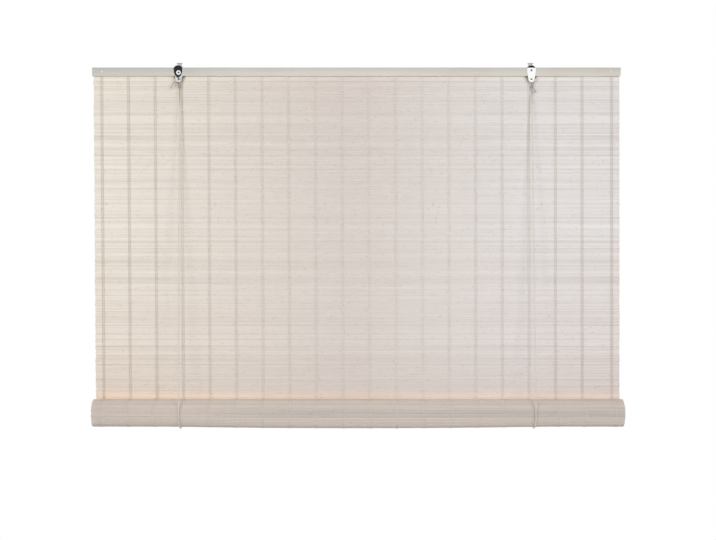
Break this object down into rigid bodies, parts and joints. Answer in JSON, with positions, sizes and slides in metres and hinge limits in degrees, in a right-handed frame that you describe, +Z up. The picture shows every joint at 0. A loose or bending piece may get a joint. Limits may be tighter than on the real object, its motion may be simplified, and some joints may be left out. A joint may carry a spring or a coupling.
{
  "type": "bamboo roll up blind",
  "caption": "Wide whitewashed bamboo slat blind on a timber head rail, part rolled up from the front, with cord slings, pulleys and hanging plates.",
  "frame": {"origin": "midway between the two hanging holes, on the face of the hanging plates towards the wall", "axes": "+X along the head rail, -Y towards the room, +Y towards the wall, +Z up"},
  "size_m": [1.502, 0.1028, 1.0385],
  "materials": {
    "bamboo": "whitewashed bamboo slats, matt, pale beige",
    "rail_wood": "whitewashed planed timber, matt",
    "warp_thread": "cotton warp threads",
    "lift_cord": "braided natural cord",
    "nail_steel": "bright nail heads",
    "dark_steel": "blackened steel plate",
    "nickel": "bright nickel-plated steel"
  },
  "bodies": {
    "rail": {"head_rail": "rail_wood", "rear_batten": "rail_wood", "front_nails": "nail_steel", "rear_nails": "nail_steel", "mat_panel": "bamboo", "panel_threads": "warp_thread", "left_front_plate": "nickel", "left_shield_plate": "dark_steel", "left_hanging_plate": "nickel", "left_pulley_cheek": "nickel", "left_axle_rivet": "nickel", "left_plate_screw": "nickel", "left_hanger_screws": "nickel", "left_cheek_screws": "nickel", "left_cord_tie": "lift_cord", "left_front_cord": "lift_cord", "left_rear_cord": "lift_cord", "left_anchor_knot": "lift_cord", "right_front_plate": "nickel", "right_shield_plate": "dark_steel", "right_hanging_plate": "nickel", "right_pulley_cheek": "nickel", "right_axle_rivet": "nickel", "right_plate_screw": "nickel", "right_hanger_screws": "nickel", "right_cheek_screws": "nickel", "right_cord_tie": "lift_cord", "right_front_cord": "lift_cord", "right_rear_cord": "lift_cord", "right_anchor_knot": "lift_cord", "left_washer": "nickel"},
    "cradle": {"left_cord_sling": "lift_cord", "right_cord_sling": "lift_cord"},
    "roll": {"mat_roll": "bamboo", "bottom_batten": "rail_wood", "bottom_nails": "nail_steel"},
    "left_wheel": {"left_pulley_wheel": "nickel"},
    "right_wheel": {"right_pulley_wheel": "nickel"}
  },
  "joints": [
    {"name": "roll_lift", "type": "slide", "parent": "rail", "child": "cradle", "axis": [0, 0, 1], "range_m": [-0.8, 0.85], "deforming": ["mat_panel", "panel_threads", "left_front_cord", "left_rear_cord", "right_front_cord", "right_rear_cord"]},
    {"name": "roll_turn", "type": "hinge", "parent": "cradle", "child": "roll", "pos_m": [0, -0.0517, -0.9838], "axis": [1, 0, 0], "range_deg": [-1180, 1111]},
    {"name": "left_wheel_turn", "type": "hinge", "parent": "rail", "child": "left_wheel", "pos_m": [-0.501, -0.019, -0.0405], "axis": [0, 1, 0], "continuous": true},
    {"name": "right_wheel_turn", "type": "hinge", "parent": "rail", "child": "right_wheel", "pos_m": [0.501, -0.019, -0.0405], "axis": [0, 1, 0], "continuous": true}
  ],
  "couplings": [
    {"joint": "roll_turn", "follows": "roll_lift", "rad_per_m": -24.155}
  ]
}
